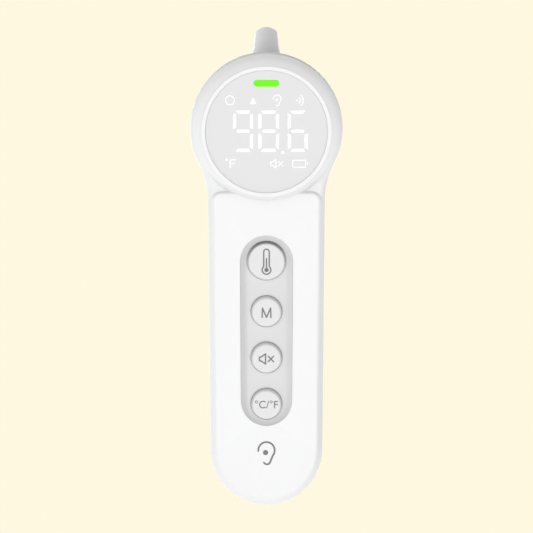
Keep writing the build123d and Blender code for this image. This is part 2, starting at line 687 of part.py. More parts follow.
# ---------------------------------------------------------------- main board and what it carries
with BuildPart() as main_board:
    with BuildSketch(face_at(BOARD_BACK)):
        with Locations((0, (BOARD_BOTTOM_Z + BOARD_TOP_Z) / 2)):
            RectangleRounded(2 * BOARD_HALF_WIDTH, BOARD_TOP_Z - BOARD_BOTTOM_Z, 3.0)
        with Locations(*board_screw_points):
            Circle(BOARD_BOSS_HOLE_R + 0.1, mode=Mode.SUBTRACT)
    extrude(amount=BOARD_BACK - BOARD_FRONT)
save(main_board.part, "main_board")

block("controller_chip", (-10.0, -3.0), (BOARD_BACK, 11.0), (76.0, 83.0))
block("wireless_module", (3.0, 10.5), (BOARD_BACK, 11.4), (77.0, 86.0))

BUZZER_Z = 18.8
BUZZER_R = 4.25
BUZZER_HEIGHT = 4.0
BUZZER_VENT_R = 0.9
BUZZER_VENT_DEPTH = 1.5

with BuildPart() as buzzer:
    with BuildSketch(face_at(BOARD_FRONT)):
        with Locations((0, BUZZER_Z)):
            Circle(BUZZER_R)
    extrude(amount=BUZZER_HEIGHT)
    with BuildSketch(face_at(BOARD_FRONT - BUZZER_HEIGHT)):
        with Locations((0, BUZZER_Z)):
            Circle(BUZZER_VENT_R)
    extrude(amount=-BUZZER_VENT_DEPTH, mode=Mode.SUBTRACT)
save(buzzer.part, "buzzer")

# ---------------------------------------------------------------- cells and contacts
POSITIVE_TOP = BAY_TOP_Z - CONTACT_THICKNESS
POSITIVE_BOTTOM = BAY_BOTTOM_Z + CONTACT_THICKNESS
SPRING_WIRE_R = 0.3
SPRING_COIL_R = 2.6
SPRING_TURNS = 4
SPRING_SPACE = POSITIVE_TOP - POSITIVE_BOTTOM - CELL_LENGTH
NUB_R = 1.9
CELL_EDGE_R = 0.5
CONTACT_WIDTH = 8.4
BRIDGE_WIDTH = 20.0
TAG_WIDTH = 1.8
TAG_LENGTH = 3.0


def battery_cell(name, x, nub_z, direction):
    """An AAA cell on a vertical axis, its nub at nub_z and its body running the other way."""
    base = Plane(origin=(x, FRONT_Y + CELL_DEPTH, nub_z), z_dir=(0, 0, direction))
    with BuildPart() as cell:
        with BuildSketch(base.offset(-CELL_LENGTH)):
            Circle(CELL_R)
        extrude(amount=CELL_LENGTH - CELL_NUB)
        ends = cell.edges().filter_by(GeomType.CIRCLE)
        fillet(ends, CELL_EDGE_R)
        with BuildSketch(base):
            Circle(NUB_R)
        extrude(amount=-CELL_NUB - 0.2)
    save(cell.part, name)


def spring_contact(name, x, lowest_z):
    """A coiled negative contact between its plate and the cell."""
    base = Plane(origin=(x, FRONT_Y + CELL_DEPTH, lowest_z))
    height = SPRING_SPACE - 2 * SPRING_WIRE_R
    with BuildPart() as spring:
        with BuildLine(base.offset(SPRING_WIRE_R)) as coil:
            Helix(pitch=height / SPRING_TURNS, height=height, radius=SPRING_COIL_R)
        with BuildSketch(Plane(origin=coil.line @ 0, z_dir=coil.line % 0)):
            Circle(SPRING_WIRE_R)
        sweep(is_frenet=True)
    save(spring.part, name)


def contact_plate(name, x, z, width, tag):
    """A sheet-metal contact on an end wall of the bay, with an optional solder tag through the wall."""
    with BuildPart() as plate:
        with BuildSketch(face_at(CELL_DEPTH + CONTACT_WIDTH / 2)):
            with Locations((x, z)):
                Rectangle(width, CONTACT_THICKNESS)
        extrude(amount=CONTACT_WIDTH)
        if tag:
            with BuildSketch(face_at(LEAD_SLOT_DEPTH + CONTACT_THICKNESS / 2)):
                with Locations((x, z + TAG_LENGTH / 2)):
                    Rectangle(TAG_WIDTH, TAG_LENGTH)
            extrude(amount=CONTACT_THICKNESS)
    save(plate.part, name)


battery_cell("battery_cell_left", -CELL_X, POSITIVE_TOP, 1)
battery_cell("battery_cell_right", CELL_X, POSITIVE_BOTTOM, -1)
spring_contact("spring_contact_left", -CELL_X, POSITIVE_BOTTOM)
spring_contact("spring_contact_right", CELL_X, POSITIVE_TOP - SPRING_SPACE)
contact_plate("bridge_contact", 0, BAY_BOTTOM_Z + CONTACT_THICKNESS / 2, BRIDGE_WIDTH, tag=False)
contact_plate("positive_contact", -CELL_X, BAY_TOP_Z - CONTACT_THICKNESS / 2, CONTACT_WIDTH, tag=True)
contact_plate("negative_contact", CELL_X, BAY_TOP_Z - CONTACT_THICKNESS / 2, CONTACT_WIDTH, tag=True)


def wire(name, points, radii, wire_r):
    """A round wire along straight runs joined by tangent arcs."""
    with BuildPart() as strand:
        with BuildLine() as route:
            FilletPolyline(*points, radius=radii)
        with BuildSketch(Plane(origin=route.line @ 0, z_dir=route.line % 0)):
            Circle(wire_r)
        sweep()
    save(strand.part, name)


LEAD_R = 0.45
LEAD_BEND_RADII = [1.8, 1.4]
LEAD_START_Z = BAY_TOP_Z + TAG_LENGTH - CONTACT_THICKNESS / 2
LEAD_END_X = 12.0
LEAD_END_Z = 83.5
for name, side in (("battery_lead_red", -1), ("battery_lead_black", 1)):
    wire(
        name,
        [
            (side * CELL_X, FRONT_Y + LEAD_SLOT_DEPTH, LEAD_START_Z),
            (side * CELL_X, FRONT_Y + LEAD_SLOT_DEPTH + 0.3, 80.5),
            (side * LEAD_END_X, FRONT_Y + LEAD_SLOT_DEPTH - 0.2, LEAD_END_Z),
            (side * LEAD_END_X, FRONT_Y + BOARD_BACK, LEAD_END_Z),
        ],
        LEAD_BEND_RADII,
        LEAD_R,
    )

LINK_WIDTH = 8.0
LINK_THICKNESS = 0.28
LINK_BEND_R = 2.5
main_link_y = FRONT_Y + BOARD_BACK + LINK_THICKNESS / 2 + 0.01
display_link_y = FRONT_Y + DISPLAY_BOARD_BACK + LINK_THICKNESS / 2 + 0.01

with BuildPart() as board_link_cable:
    with BuildSketch(Plane.YZ.offset(-LINK_WIDTH / 2)):
        with BuildLine():
            FilletPolyline(
                (main_link_y, 88.0),
                (main_link_y, 96.0),
                (display_link_y, 101.0),
                (display_link_y, 106.0),
                radius=LINK_BEND_R,
            )
        trace(line_width=LINK_THICKNESS)
    extrude(amount=LINK_WIDTH)
save(board_link_cable.part, "board_link_cable")

# ---------------------------------------------------------------- probe
BORE_R = 2.62
SLEEVE_STEP = -11.2
SENSOR_BORE_R = 3.6
FLANGE_STEP = -15.2
SPIGOT_BORE_R = 4.7
SPIGOT_END = -22.5
SEAL_R = 6.3
SEAL_WIRE_R = 0.4
SEAL_GROOVE = 0.85
SEAL_CLEARANCE = 0.05
WINDOW_SEAT_R = 2.5
WINDOW_BACK = -0.6
WINDOW_FRONT = -0.15
WINDOW_CLEARANCE = 0.03
COLLAR_EDGE_R = 0.6
TUBE_R = 2.0             # gold tube that carries the infrared light
TUBE_BORE_R = 1.6
SLEEVE_CLEARANCE = 0.05
NUT_R = 6.9
NUT_HEIGHT = 2.2
NUT_CLEARANCE = 0.03

with BuildPart() as probe_cone:
    with BuildSketch(probe_section):
        with BuildLine():
            tip_line = Line((WINDOW_SEAT_R, 0), (TIP_R - TIP_EDGE_R + 0.02, 0))
            tip_edge = RadiusArc(tip_line @ 1, (TIP_R, -TIP_EDGE_R), -TIP_EDGE_R)
            flare_points = [tip_edge @ 1, (4.25, -7.3), (5.45, COLLAR_TOP + 0.9)]
            flare = Spline(*flare_points, tangents=[(0.04, -1), (0.35, -1)])
            shoulder = Line(flare @ 1, (COLLAR_R - COLLAR_EDGE_R, COLLAR_TOP))
            collar_edge = RadiusArc(shoulder @ 1, (COLLAR_R, COLLAR_TOP - COLLAR_EDGE_R), -COLLAR_EDGE_R)
            Polyline(
                collar_edge @ 1,
                (COLLAR_R, COLLAR_BOTTOM),
                (SEAL_R + SEAL_WIRE_R + SEAL_CLEARANCE, COLLAR_BOTTOM),
                (SEAL_R + SEAL_WIRE_R + SEAL_CLEARANCE, COLLAR_BOTTOM + SEAL_GROOVE),
                (SEAL_R - SEAL_WIRE_R - SEAL_CLEARANCE, COLLAR_BOTTOM + SEAL_GROOVE),
                (SEAL_R - SEAL_WIRE_R - SEAL_CLEARANCE, COLLAR_BOTTOM),
                (SPIGOT_R, COLLAR_BOTTOM),
                (SPIGOT_R, SPIGOT_END),
                (SPIGOT_BORE_R, SPIGOT_END),
                (SPIGOT_BORE_R, FLANGE_STEP),
                (SENSOR_BORE_R, FLANGE_STEP),
                (SENSOR_BORE_R, SLEEVE_STEP),
                (BORE_R, SLEEVE_STEP),
                (BORE_R, WINDOW_BACK),
                (WINDOW_SEAT_R, WINDOW_BACK),
                tip_line @ 0,
            )
        make_face()
    revolve(axis=probe_axis)
save(probe_cone.part, "probe_cone")

window_r = WINDOW_SEAT_R - WINDOW_CLEARANCE
turned(
    "probe_window",
    [(0, WINDOW_FRONT), (window_r, WINDOW_FRONT), (window_r, WINDOW_BACK), (0, WINDOW_BACK)],
)
tube_top = WINDOW_BACK - SLEEVE_CLEARANCE
turned(
    "wave_guide",
    [(TUBE_BORE_R, tube_top), (TUBE_R, tube_top), (TUBE_R, SLEEVE_STEP), (TUBE_BORE_R, SLEEVE_STEP)],
)
turned(
    "sensor_sleeve",
    [
        (2.05, -1.2),
        (2.55, -1.2),
        (2.55, -11.3),
        (3.5, -11.3),
        (3.5, -15.25),
        (4.6, -15.25),
        (4.6, -16.2),
        (2.85, -16.2),
        (2.85, -11.9),
        (2.05, -11.9),
    ],
)
turned(
    "thermopile_sensor",
    [(0, -12.0), (2.35, -12.0), (2.35, -14.2), (2.8, -14.2), (2.8, -15.0), (0, -15.0)],
)
turned("sensor_board", [(0, -16.3), (4.5, -16.3), (4.5, -17.1), (0, -17.1)])
nut_bore_r = SPIGOT_R + NUT_CLEARANCE
nut_top = NOSE_INSIDE - NUT_CLEARANCE
nut_bottom = NOSE_INSIDE - NUT_HEIGHT
turned("probe_nut", [(nut_bore_r, nut_top), (NUT_R, nut_top), (NUT_R, nut_bottom), (nut_bore_r, nut_bottom)])

with BuildPart() as probe_seal_ring:
    with BuildSketch(probe_section):
        with Locations((SEAL_R, COLLAR_BOTTOM + SEAL_WIRE_R)):
            Circle(SEAL_WIRE_R)
    revolve(axis=probe_axis)
save(probe_seal_ring.part, "probe_seal_ring")

CABLE_R = 0.8
wire(
    "sensor_cable",
    [
        along_probe(-17.1),
        along_probe(-26.0),
        (4.0, FRONT_Y + 19.0, 118.0),
        (8.0, FRONT_Y + 13.0, 104.0),
        (8.0, FRONT_Y + 12.5, 91.0),
        (8.0, FRONT_Y + BOARD_BACK, 91.0),
    ],
    [6.0, 8.0, 6.0, 1.2],
    CABLE_R,
)
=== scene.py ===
"""Looks of the digital ear thermometer: finishes, printed legends, the lit display, light and camera."""
from collections import namedtuple
from math import atan2, cos, pi, radians, sin

import bmesh
import bpy
from mathutils import Matrix, Vector


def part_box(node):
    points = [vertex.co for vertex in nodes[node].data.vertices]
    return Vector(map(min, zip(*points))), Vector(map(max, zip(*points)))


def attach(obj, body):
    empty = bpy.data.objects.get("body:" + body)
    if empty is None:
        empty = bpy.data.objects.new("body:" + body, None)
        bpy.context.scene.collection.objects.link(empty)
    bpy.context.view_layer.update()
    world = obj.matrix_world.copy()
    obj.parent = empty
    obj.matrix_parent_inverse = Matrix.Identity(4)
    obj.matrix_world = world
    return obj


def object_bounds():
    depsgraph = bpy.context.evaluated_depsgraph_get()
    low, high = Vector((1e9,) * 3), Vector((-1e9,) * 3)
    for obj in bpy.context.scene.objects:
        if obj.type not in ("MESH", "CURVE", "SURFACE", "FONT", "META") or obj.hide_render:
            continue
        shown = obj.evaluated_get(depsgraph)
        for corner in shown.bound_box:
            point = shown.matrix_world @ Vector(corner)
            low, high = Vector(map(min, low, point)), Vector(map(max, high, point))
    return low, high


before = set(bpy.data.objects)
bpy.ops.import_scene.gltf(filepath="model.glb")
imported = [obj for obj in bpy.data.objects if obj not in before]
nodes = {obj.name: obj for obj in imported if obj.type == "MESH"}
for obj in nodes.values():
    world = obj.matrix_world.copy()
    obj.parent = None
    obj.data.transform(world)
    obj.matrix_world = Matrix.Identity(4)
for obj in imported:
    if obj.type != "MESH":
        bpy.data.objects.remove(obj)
cad_low, cad_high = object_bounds()
MM = 0.001


# ---------------------------------------------------------------- colours (linear)
def grey(level):
    return (level, level, level, 1.0)


def shade(color, factor):
    """The colour made lighter or darker by a factor."""
    return tuple(min(1.0, channel * factor) for channel in color[:3]) + (1.0,)


CREAM = (0.991, 0.939, 0.745, 1.0)
LIT_GREEN = (0.18, 1.0, 0.001, 1.0)
LIT_WHITE = grey(1.0)
SHELL_WHITE = grey(0.90)
LENS_GREY = grey(0.742)
PANEL_GREY = grey(0.747)
KEY_GREY = grey(0.814)
PROBE_GREY = grey(0.90)
PRINT_GREY = grey(0.19)


# ---------------------------------------------------------------- node helpers
class Nodes:
    """A node tree under construction, with short helpers for the nodes that repeat."""

    def __init__(self, tree):
        self.tree = tree

    def node(self, kind, **settings):
        made = self.tree.nodes.new(kind)
        for key, value in settings.items():
            setattr(made, key, value)
        return made

    def link(self, source, target):
        self.tree.links.new(source, target)

    def spread(self, value, low, high, out_low, out_high, kind="LINEAR"):
        """Map a value from one range to another, clamped."""
        ranged = self.node("ShaderNodeMapRange", interpolation_type=kind)
        self.link(value, ranged.inputs["Value"])
        limits = {"From Min": low, "From Max": high, "To Min": out_low, "To Max": out_high}
        for socket, number in limits.items():
            ranged.inputs[socket].default_value = number
        return ranged.outputs["Result"]

    def combine(self, operation, first, second):
        """Two varying values added or multiplied."""
        result = self.node("ShaderNodeMath", operation=operation)
        self.link(first, result.inputs[0])
        self.link(second, result.inputs[1])
        return result.outputs["Value"]

    def parts(self, vector):
        """The X, Y and Z of a vector, by name."""
        split = self.node("ShaderNodeSeparateXYZ")
        self.link(vector, split.inputs["Vector"])
        return split.outputs


class Finish(Nodes):
    """A node-based material under construction."""

    def __init__(self, name):
        self.material = bpy.data.materials.new(name)
        self.material.use_nodes = True
        super().__init__(self.material.node_tree)
        self.shader = self.tree.nodes["Principled BSDF"]
        self.place = self.node("ShaderNodeTexCoord").outputs["Object"]

    def fix(self, socket, value):
        """Give the shader a value that is the same all over."""
        self.shader.inputs[socket].default_value = value

    def feed(self, socket, source):
        """Give the shader a value that varies over the surface."""
        self.link(source, self.shader.inputs[socket])

    def noise(self, scale, detail=3.0, stretch=(1, 1, 1)):
        """Noise in the object's own space, with about this many features to a metre."""
        mapping = self.node("ShaderNodeMapping")
        mapping.inputs["Scale"].default_value = stretch
        self.link(self.place, mapping.inputs["Vector"])
        noise = self.node("ShaderNodeTexNoise")
        noise.inputs["Scale"].default_value = scale
        noise.inputs["Detail"].default_value = detail
        self.link(mapping.outputs["Vector"], noise.inputs["Vector"])
        return noise.outputs["Fac"]

    def mix(self, factor, first, second):
        """A colour between first and second; each is a colour or a socket."""
        mixed = self.node("ShaderNodeMix", data_type="RGBA")
        self.link(factor, mixed.inputs["Factor"])
        # a colour mix takes its colours on sockets 6 and 7, and gives its result on socket 2
        for socket, value in ((mixed.inputs[6], first), (mixed.inputs[7], second)):
            if isinstance(value, bpy.types.NodeSocket):
                self.link(value, socket)
            else:
                socket.default_value = value
        return mixed.outputs[2]

    def bump(self, height, strength, depth, under=None):
        """The surface's normal, raised by a height, over another bump's normal if there is one."""
        bump = self.node("ShaderNodeBump")
        bump.inputs["Strength"].default_value = strength
        bump.inputs["Distance"].default_value = depth
        self.link(height, bump.inputs["Height"])
        if under is not None:
            self.link(under, bump.inputs["Normal"])
        return bump.outputs["Normal"]


# ---------------------------------------------------------------- materials
GRAIN_SIZE = 0.18 * MM    # of the spark-eroded texture
GRAIN_DEPTH = 0.012 * MM
FLOW_STRETCH = (1.0, 1.0, 0.45)   # flow marks run up the object
TARNISH = 0.08
BAND_START = 30 * MM      # from the bottom of the battery cells to their pale band
BAND_EDGE = 0.2 * MM

# shade painted into corners, which the even studio light leaves too pale
# depth: how much darker the painted shade makes the most shut-in corners
# reach: how near the surfaces that shut them in have to be, in millimetres
# ledges: how much of the painted shade keeps to surfaces that face up, from 0 to 1
PaintedShade = namedtuple("PaintedShade", "depth reach ledges")


def corner_shade(look, painted_shade):
    """Where to paint shade: how shut in a point is by the surfaces round it, more so facing up, from 0 to 1.
    """
    nearby = look.node("ShaderNodeAmbientOcclusion", samples=8)
    nearby.inputs["Distance"].default_value = painted_shade.reach * MM
    closed = look.spread(nearby.outputs["AO"], 0.80, 0.99, 1, 0)
    normal = look.node("ShaderNodeNewGeometry").outputs["Normal"]
    upward = look.spread(look.parts(normal)["Z"], -0.4, 0.7, 1 - painted_shade.ledges, 1)
    return look.combine("MULTIPLY", closed, upward)


def moulded(
    name, color, roughness, grain=0.25, mottle=0.004, coat=0.0, subsurface=0.0, edge_tone=0.03, painted_shade=None
):
    """Injection-moulded plastic: fine spark-eroded grain, faint flow marks, lighter edges and darker creases.

    Shade is painted into the deep corners, which the even studio light leaves too pale.
    """
    look = Finish(name)
    flow = look.spread(look.noise(38.0, 4.0, FLOW_STRETCH), 0.35, 0.65, 0, 1)
    base = look.mix(flow, shade(color, 1 - mottle), shade(color, 1 + mottle))
    edges = look.node("ShaderNodeNewGeometry").outputs["Pointiness"]
    # by pointiness: creases a little darker, convex edges a little lighter
    base = look.mix(look.spread(edges, 0.47, 0.50, 0.5, 0), base, shade(color, 1 - 2 * edge_tone))
    base = look.mix(look.spread(edges, 0.52, 0.60, 0, 0.6), base, shade(color, 1 + edge_tone))
    # painted shade in the deep corners
    if painted_shade:
        base = look.mix(corner_shade(look, painted_shade), base, shade(color, 1 - painted_shade.depth))
    look.feed("Base Color", base)
    handling = look.noise(900.0, 2.0)
    look.feed("Roughness", look.spread(handling, 0.2, 0.8, roughness - 0.03, roughness + 0.03))
    fine = look.noise(1 / GRAIN_SIZE, 2.0)
    waves = look.noise(220.0, 1.0)
    look.feed("Normal", look.bump(waves, 0.12, 0.03 * MM, look.bump(fine, grain, GRAIN_DEPTH)))
    look.fix("Coat Weight", coat)
    look.fix("Coat Roughness", 0.12)
    look.fix("Subsurface Weight", subsurface)
    look.fix("Subsurface Scale", 0.6 * MM)
    return look.material


def metal(name, color, roughness, brush=(1, 1, 1)):
    """Plated or drawn metal with brushing and light tarnish."""
    look = Finish(name)
    stain = look.spread(look.noise(180.0, 5.0), 0.35, 0.7, 0, 1)
    look.feed("Base Color", look.mix(stain, color, shade(color, 1 - 2 * TARNISH)))
    lines = look.noise(1500.0, 2.0, brush)
    look.feed("Roughness", look.spread(lines, 0.3, 0.7, roughness - 0.06, roughness + 0.1))
    look.feed("Normal", look.bump(lines, 0.2, 0.01 * MM))
    look.fix("Metallic", 1.0)
    return look.material


def lit(name, color, strength):
    """A lit display element behind its printed mask, slightly uneven from lamp to lamp."""
    look = Finish(name)
    uneven = look.noise(260.0, 2.0)
    look.feed("Emission Color", look.mix(look.spread(uneven, 0.3, 0.7, 0, 1), shade(color, 0.97), color))
    look.feed("Roughness", look.spread(uneven, 0.3, 0.7, 0.35, 0.45))
    look.fix("Emission Strength", strength)
    look.fix("Base Color", shade(color, 0.05))
    look.fix("Specular IOR Level", 0.15)
    return look.material


def circuit_board(name):
    """Green solder mask over copper tracks, which stand up slightly and show lighter."""
    look = Finish(name)
    tracks = look.node("ShaderNodeTexWave", wave_type="BANDS", bands_direction="DIAGONAL")
    tracks.inputs["Scale"].default_value = 420.0
    tracks.inputs["Distortion"].default_value = 5.0
    tracks.inputs["Detail"].default_value = 1.0
    look.link(look.place, tracks.inputs["Vector"])
    copper = look.spread(tracks.outputs["Fac"], 0.62, 0.68, 0, 1)
    look.feed("Base Color", look.mix(copper, (0.012, 0.11, 0.045, 1), (0.03, 0.24, 0.09, 1)))
    look.feed("Normal", look.bump(copper, 0.4, 0.03 * MM))
    look.feed("Roughness", look.spread(look.noise(300.0), 0.3, 0.7, 0.25, 0.38))
    return look.material


def cell_sleeve(name):
    """A printed cell sleeve: dark with a pale upper band, and rubbed lengthwise."""
    look = Finish(name)
    band_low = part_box("battery_cell_left")[0].z + BAND_START
    band = look.spread(look.parts(look.place)["Z"], band_low, band_low + BAND_EDGE, 0, 1)
    base = look.mix(band, (0.03, 0.07, 0.12, 1), (0.62, 0.60, 0.56, 1))
    rub = look.spread(look.noise(500.0, 4.0, (1, 1, 0.1)), 0.35, 0.65, 0, 0.35)
    look.feed("Base Color", look.mix(rub, base, (0.25, 0.27, 0.3, 1)))
    look.feed("Roughness", look.spread(look.noise(90.0), 0.3, 0.7, 0.22, 0.34))
    look.fix("Metallic", 0.4)
    return look.material


def dark_window(name):
    """The infrared window: a near-black polished filter, with a faint purple sheen painted into its colour."""
    look = Finish(name)
    # painted sheen: patches of faint purple in the near-black colour
    painted_sheen = look.spread(look.noise(300.0), 0.3, 0.7, 0, 1)
    look.feed("Base Color", look.mix(painted_sheen, (0.02, 0.015, 0.025, 1), (0.05, 0.03, 0.06, 1)))
    look.feed("Roughness", look.spread(look.noise(900.0), 0.3, 0.7, 0.06, 0.12))
    return look.material


def printed(name, color):
    """Pad-printed ink: matt, a little uneven, with a faint raised grain."""
    look = Finish(name)
    film = look.spread(look.noise(2600.0, 3.0), 0.3, 0.7, 0, 1)
    look.feed("Base Color", look.mix(film, shade(color, 0.92), shade(color, 1.08)))
    look.feed("Normal", look.bump(film, 0.1, 0.004 * MM))
    look.feed("Roughness", look.spread(look.noise(700.0), 0.3, 0.7, 0.42, 0.55))
    return look.material


# shade painted into corners: softly on the shell, as the crescent below the display ring, lightly on the key
# panel, and strongly as dark crescents on the keys' upper edges
shell_painted_shade = PaintedShade(depth=0.18, reach=5.0, ledges=0.0)
panel_painted_shade = PaintedShade(depth=0.05, reach=1.2, ledges=0.3)
key_painted_shade = PaintedShade(depth=0.78, reach=2.2, ledges=1.0)
shell = moulded(
    "shell_white",
    SHELL_WHITE,
    roughness=0.30,
    grain=0.12,
    mottle=0.002,
    coat=0.15,
    subsurface=0.05,
    painted_shade=shell_painted_shade,
)
lens = moulded("lens_tint", LENS_GREY, roughness=0.22, grain=0.03, coat=0.25, edge_tone=0.01)
panel = moulded("panel_grey", PANEL_GREY, roughness=0.42, grain=0.35, painted_shade=panel_painted_shade)
key = moulded("key_grey", KEY_GREY, roughness=0.38, grain=0.3, painted_shade=key_painted_shade)
probe = moulded("probe_grey", PROBE_GREY, roughness=0.34, grain=0.15, coat=0.1, subsurface=0.04)
window = dark_window("infrared_window")
board = circuit_board("solder_mask")
sleeve = cell_sleeve("cell_sleeve")
nickel = metal("nickel", (0.72, 0.69, 0.62, 1), roughness=0.24)
steel = metal("zinc_steel", (0.30, 0.30, 0.31, 1), roughness=0.42, brush=(1, 1, 0.2))
brass = metal("brass", (0.78, 0.58, 0.26, 1), roughness=0.26, brush=(1, 1, 0.2))
black = moulded("black_resin", (0.025, 0.025, 0.027, 1), roughness=0.5, grain=0.4)
ivory = moulded("ivory_plastic", (0.62, 0.58, 0.46, 1), roughness=0.45)
white_plastic = moulded("diffuser_white", (0.82, 0.82, 0.80, 1), roughness=0.55)
rubber = moulded("silicone", (0.60, 0.60, 0.58, 1), roughness=0.6, grain=0.5)
tape = moulded("foam_tape", (0.12, 0.12, 0.12, 1), roughness=0.8, grain=0.8)
dark_nut = moulded("nut_grey", (0.20, 0.20, 0.21, 1), roughness=0.45)
red_wire = moulded("red_insulation", (0.45, 0.02, 0.02, 1), roughness=0.42)
grey_wire = moulded("grey_insulation", (0.25, 0.25, 0.26, 1), roughness=0.45)
amber = moulded("amber_film", (0.40, 0.17, 0.03, 1), roughness=0.3)
green_light = lit("lit_green", LIT_GREEN, strength=1.0)
white_light = lit("lit_white", LIT_WHITE, strength=1.05)
ink = printed("legend_ink", PRINT_GREY)

FINISHES = {
    shell: ("front_shell", "rear_shell", "battery_door"),
    lens: ("display_lens",),
    panel: ("key_panel",),
    key: ("measure_button", "memory_button", "mute_button", "unit_button"),
    probe: ("probe_cone",),
    window: ("probe_window",),
    rubber: ("probe_seal_ring",),
    tape: ("lens_adhesive_ring",),
    white_plastic: ("display_diffuser", "segment_light_guide"),
    green_light: ("indicator_light_pipe",),
    ivory: (
        "measure_plunger",
        "memory_plunger",
        "mute_plunger",
        "unit_plunger",
        "display_leds",
        "indicator_led",
    ),
    black: ("switch_bodies", "controller_chip", "buzzer", "battery_lead_black"),
    board: ("main_board", "display_board", "sensor_board"),
    steel: (
        "case_screws",
        "main_board_screws",
        "display_board_screws",
        "wireless_module",
        "thermopile_sensor",
    ),
    nickel: (
        "spring_contact_left",
        "spring_contact_right",
        "bridge_contact",
        "positive_contact",
        "negative_contact",
    ),
    sleeve: ("battery_cell_left", "battery_cell_right"),
    red_wire: ("battery_lead_red",),
    grey_wire: ("sensor_cable",),
    amber: ("board_link_cable",),
    brass: ("wave_guide", "sensor_sleeve"),
    dark_nut: ("probe_nut",),
}
for material, names in FINISHES.items():
    for name in names:
        slots = nodes[name].data.materials
        slots.clear()
        slots.append(material)

# ---------------------------------------------------------------- flat shapes, in millimetres on x and z
PRINT_THICKNESS = 0.03 * MM
PRINT_ROOT = 0.002 * MM   # how far a print reaches into the surface that it lies on
HAIR = 0.0004 * MM
HAIR_STEPS = 12
WELD = 1e-5               # a letter's outline points nearer than this are one


def arc(x, z, radius, start, end, count):
    """Points along an arc; angles in degrees."""
    turns = [radians(start + (end - start) * i / count) for i in range(count + 1)]
    return [(x + radius * cos(turn), z + radius * sin(turn)) for turn in turns]


def disc(x, z, radius, count=20, start=0):
    """Points round a circle, the first at an angle in degrees."""
    return arc(x, z, radius, start, start + 360, count)[:-1]


def stroke(points, width, closed=False):
    """The filled loops that make a line of constant width with round ends and joints."""
    loops = [disc(x, z, width / 2) for x, z in points]
    ends = points[1:] + ([points[0]] if closed else [])
    for (x0, z0), (x1, z1) in zip(points, ends):
        turn = atan2(z1 - z0, x1 - x0)
        dx, dz = -sin(turn) * width / 2, cos(turn) * width / 2
        loops.append([(x0 + dx, z0 + dz), (x0 - dx, z0 - dz), (x1 - dx, z1 - dz), (x1 + dx, z1 + dz)])
    return loops


def add_piece(name, mesh, material, body):
    """Put a finished mesh in the scene as a piece of the object."""
    piece = bpy.data.objects.new(name, mesh)
    bpy.context.scene.collection.objects.link(piece)
    mesh.materials.append(material)
    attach(piece, body)


def plate(name, loops, front_y, material, body):
    """One thin plate made of filled loops, lying on the plane y = front_y and facing the front.

    Overlapping loops are stepped apart by a hair so that no two faces share a plane.
    """
    mesh = bpy.data.meshes.new(name)
    build = bmesh.new()
    for number, loop in enumerate(loops):
        top_y = front_y - PRINT_THICKNESS - HAIR * (number % HAIR_STEPS)
        top = [build.verts.new((x * MM, top_y, z * MM)) for x, z in loop]
        bottom = [build.verts.new((x * MM, front_y + PRINT_ROOT, z * MM)) for x, z in loop]
        build.faces.new(top)
        build.faces.new(bottom[::-1])
        for i in range(len(loop)):
            after = (i + 1) % len(loop)
            build.faces.new((top[i], bottom[i], bottom[after], top[after]))
    bmesh.ops.recalc_face_normals(build, faces=build.faces)
    build.to_mesh(mesh)
    build.free()
    add_piece(name, mesh, material, body)


def letters(name, text, center, height, front_y, material, body):
    """Plain sans-serif characters of a given overall height, centred on a point, as a thin plate."""
    curve = bpy.data.curves.new(name, "FONT")
    curve.body = text
    curve.align_x = "CENTER"
    curve.resolution_u = 6
    holder = bpy.data.objects.new(name, curve)
    bpy.context.scene.collection.objects.link(holder)
    bpy.context.view_layer.update()
    mesh = bpy.data.meshes.new_from_object(holder.evaluated_get(bpy.context.evaluated_depsgraph_get()))
    bpy.data.objects.remove(holder)
    xs = [v.co.x for v in mesh.vertices]
    ys = [v.co.y for v in mesh.vertices]
    size = height * MM / (max(ys) - min(ys))
    middle = Vector(((max(xs) + min(xs)) / 2, (max(ys) + min(ys)) / 2, 0))
    build = bmesh.new()
    build.from_mesh(mesh)
    bmesh.ops.remove_doubles(build, verts=build.verts, dist=WELD)
    bmesh.ops.translate(build, verts=build.verts, vec=-middle)
    bmesh.ops.scale(build, verts=build.verts, vec=(size, size, size))
    grown = bmesh.ops.extrude_face_region(build, geom=list(build.faces))
    lifted = [v for v in grown["geom"] if isinstance(v, bmesh.types.BMVert)]
    bmesh.ops.translate(build, verts=lifted, vec=(0, 0, PRINT_THICKNESS))
    bmesh.ops.rotate(build, verts=build.verts, cent=(0, 0, 0), matrix=Matrix.Rotation(pi / 2, 3, "X"))
    bmesh.ops.translate(build, verts=build.verts, vec=(center[0] * MM, front_y, center[1] * MM))
    bmesh.ops.recalc_face_normals(build, faces=build.faces)
    build.to_mesh(mesh)
    build.free()
    add_piece(name, mesh, material, body)


# ---------------------------------------------------------------- signs, each round its own centre
ROOF_UP = 90              # the angle of the house's top corner
HOUSE_BULGE = 0.9         # how far out the middles of the house's sides are, against its corners


def home_sign(x, z, size, line):
    """A plain rounded house: five corners joined by slightly bulging sides, its roof at the top."""
    corners = disc(x, z, size, 5, ROOF_UP)
    sides = disc(x, z, size * HOUSE_BULGE, 5, ROOF_UP + 36)
    return stroke([point for pair in zip(corners, sides) for point in pair], line, closed=True)


def warning_sign(x, z):
    """A small filled triangle, point up."""
    return [[(x - 1.1, z - 1.2), (x + 1.1, z - 1.2), (x, z + 0.95)]]


def ear_sign(x, z, size, line):
    """An ear in outline: outer curl, lobe and a dot for the canal."""
    outer = arc(x, z + 0.13 * size, 0.35 * size, 185, -40, 20)
    lobe = arc(x + 0.02 * size, z - 0.32 * size, 0.15 * size, -10, -150, 10)
    return stroke(outer + lobe, line) + [disc(x - 0.04 * size, z + 0.03 * size, 0.11 * size, 16)]


def waves_sign(x, z, size, line):
    """A wireless sign: a dot with two arcs spreading to the right."""
    source = x - 0.34 * size
    loops = [disc(source, z, 0.10 * size, 16)]
    for radius in (0.38, 0.70):
        loops += stroke(arc(source, z, radius * size, -48, 48, 12), line)
    return loops


